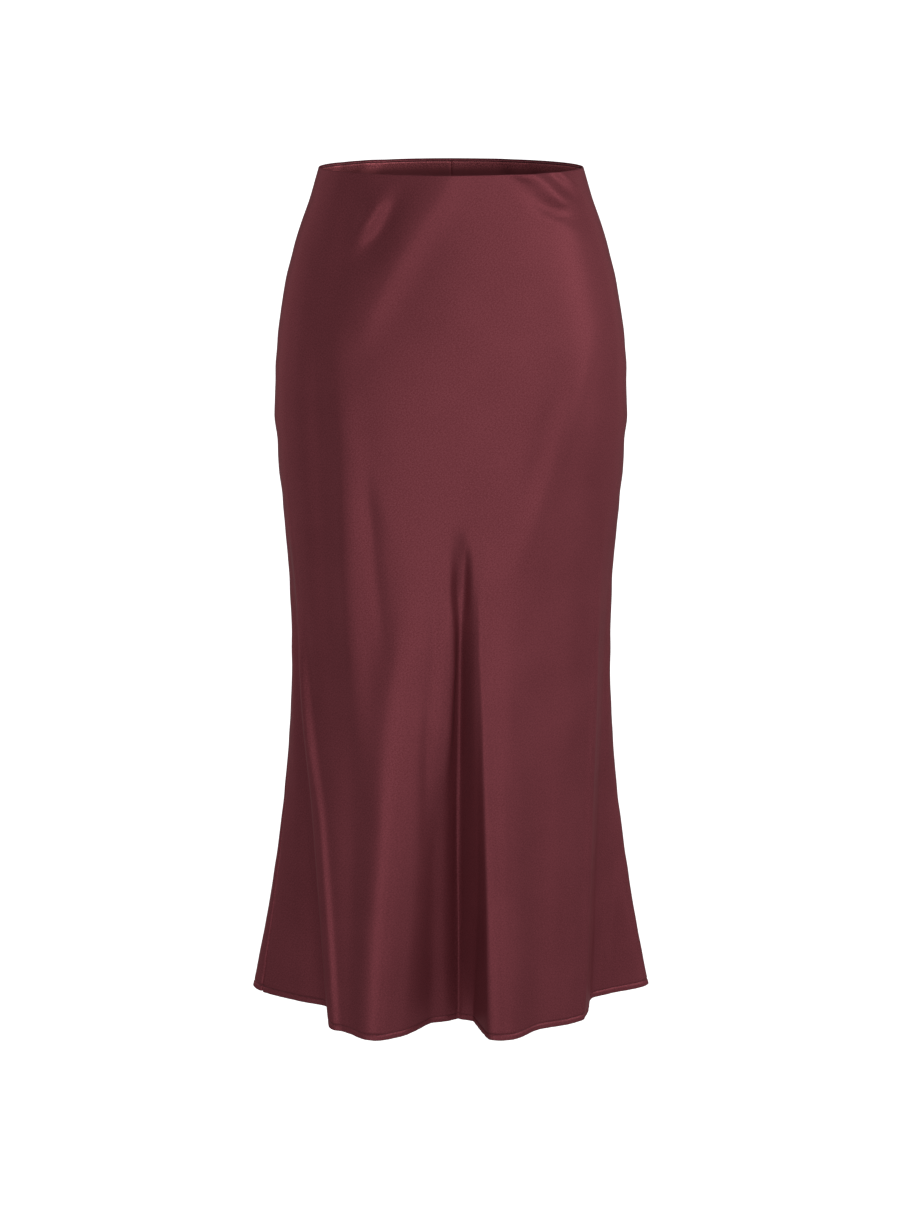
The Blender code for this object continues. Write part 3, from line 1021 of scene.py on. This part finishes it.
# Softboxes in a wide arc round the front, stronger and higher towards the right, one high up
# for the waist, and strips behind each side for its thin rim of light. The angle is the same as
# the cloth's: 0 in front, 90 at the side at +X. Middle is the height of a light's middle.
Light = namedtuple("Light", "name angle middle width height power")
LIGHTS = table(Light, (
    ("left low softbox", -52, -0.55, 0.8, 0.9, 1.2),
    ("left front softbox", -28, -0.85, 0.8, 1.2, 5.6),
    ("front low softbox", -8, -0.75, 0.8, 1.1, 4.4),
    ("front softbox", 14, -0.1, 0.8, 1.8, 5),
    ("right front low softbox", 34, -0.4, 0.8, 1.6, 4.6),
    ("high right softbox", 38, 1.35, 1, 0.9, 4.4),
    ("waist softbox", -4, 2.3, 0.9, 0.6, 4.8),
    ("right softbox", 54, 0.35, 0.8, 0.9, 2.8),
    ("high side softbox", 64, 1.35, 1.2, 0.9, 5.8),
    ("right wing", 76, 0.15, 0.8, 1.2, 9.4),
    ("left rim strip", -130, -0.1, 0.4, 1.9, 4.2),
    ("left side strip", -105, -0.1, 0.4, 1.9, 2.2),
    ("right rim strip", 130, -0.1, 0.4, 1.9, 3.2),
    ("right side strip", 105, -0.1, 0.4, 1.9, 2.2),
))
LIGHTS_DISTANCE = 2.7
LIGHTS_AIM = (0.0, 0.0, -0.40)
WORLD_STRENGTH = 0.25
BACKDROP_BEHIND = 2.6
BACKDROP_BEND = 0.9  # the radius in which it bends up from the floor
BACKDROP_BEND_STEPS = 12
BACKDROP_HALF_WIDTH = 4.0
BACKDROP_HEIGHT = 4.0
FLOOR_FRONT = -4.0
BACKDROP_GLOW = 0.95
CAMERA_ASIDE = -0.001
SENSOR_WIDTH = 36.0  # mm, for the picture's long side


def backdrop_mesh(floor_drop):
    """A sheet of paper that lies on the floor and bends up behind."""
    y, z = BACKDROP_BEHIND - BACKDROP_BEND, -floor_drop + BACKDROP_BEND
    turns = np.linspace(0, math.pi / 2, BACKDROP_BEND_STEPS + 1)
    bend = [(y + BACKDROP_BEND * math.sin(a), z - BACKDROP_BEND * math.cos(a)) for a in turns]
    outline = [(FLOOR_FRONT, -floor_drop), *bend, (BACKDROP_BEHIND, BACKDROP_HEIGHT)]
    rows = [[(x, y, z) for x in (-BACKDROP_HALF_WIDTH, BACKDROP_HALF_WIDTH)] for y, z in outline]
    cuts = [[(x, y) for x in (0, 1)] for y, z in outline]
    return grid_mesh("studio_backdrop", rows, cuts)


def aim(place, target):
    """The rotation that points a light from a place at a target."""
    return (Vector(target) - Vector(place)).to_track_quat("-Z", "Y").to_euler()


class SKIRT_OT_studio(bpy.types.Operator):
    """Make the floor, the lights and the camera"""

    bl_idname = "skirt.studio"
    bl_label = "Studio"

    def execute(self, context):
        scene, studio = context.scene, context.scene.skirt_studio
        backdrop = bpy.data.objects.new("studio_backdrop", backdrop_mesh(studio.floor_drop))
        backdrop.data.materials.append(studio_white("studio_paper", BACKDROP_GLOW))
        scene.collection.objects.link(backdrop)
        backdrop.visible_diffuse = False
        backdrop.visible_glossy = False
        for light in LIGHTS:
            data = bpy.data.lights.new(light.name, "AREA")
            data.shape = "RECTANGLE"
            data.size, data.size_y = light.width, light.height
            data.energy = light.power
            lamp = bpy.data.objects.new(light.name, data)
            turn = math.radians(light.angle)
            x, y = LIGHTS_DISTANCE * math.sin(turn), -LIGHTS_DISTANCE * math.cos(turn)
            lamp.location = (x, y, light.middle)
            lamp.rotation_euler = aim(lamp.location, LIGHTS_AIM)
            scene.collection.objects.link(lamp)
        world = bpy.data.worlds.new("studio_air")
        world.use_nodes = True
        air = world.node_tree.nodes["Background"]
        air.inputs["Color"].default_value = (1.0, 1.0, 1.0, 1.0)
        air.inputs["Strength"].default_value = WORLD_STRENGTH
        scene.world = world
        data = bpy.data.cameras.new("studio_camera")
        data.lens = studio.lens
        data.sensor_width = SENSOR_WIDTH
        camera = bpy.data.objects.new("studio_camera", data)
        camera.location = (CAMERA_ASIDE, -studio.camera_distance, studio.camera_height)
        camera.rotation_euler = (math.pi / 2 - studio.camera_tilt, 0.0, 0.0)
        scene.collection.objects.link(camera)
        scene.camera = camera
        scene.view_settings.view_transform = "Standard"
        return {"FINISHED"}


STEPS = (SKIRT_OT_panels, SKIRT_OT_facing, SKIRT_OT_seams, SKIRT_OT_stitching, SKIRT_OT_studio)


class SKIRT_PT_maker(bpy.types.Panel):
    """The skirt's pieces and settings"""

    bl_idname = "SKIRT_PT_maker"
    bl_label = "Bias-cut skirt"
    bl_space_type = "VIEW_3D"
    bl_region_type = "UI"
    bl_category = "Skirt"

    def draw(self, context):
        for step in STEPS:
            self.layout.operator(step.bl_idname)
        for name in GROUPS:
            box, group = self.layout.box(), getattr(context.scene, name)
            for key in group.bl_rna.properties.keys():
                if key not in ("rna_type", "name"):
                    box.prop(group, key)


GROUPS = {"skirt_sizes": SkirtSizes, "skirt_look": SkirtLook, "skirt_studio": SkirtStudio}
CLASSES = (*GROUPS.values(), *STEPS, SKIRT_PT_maker)


def register():
    for cls in CLASSES:
        bpy.utils.register_class(cls)
    for name, group in GROUPS.items():
        setattr(bpy.types.Scene, name, bpy.props.PointerProperty(type=group))


def unregister():
    for name in GROUPS:
        delattr(bpy.types.Scene, name)
    for cls in reversed(CLASSES):
        bpy.utils.unregister_class(cls)


def main():
    register()
    bpy.ops.skirt.panels()
    bpy.ops.skirt.facing()
    bpy.ops.skirt.seams()
    bpy.ops.skirt.stitching()
    bpy.ops.skirt.studio()


if __name__ == "__main__":
    main()
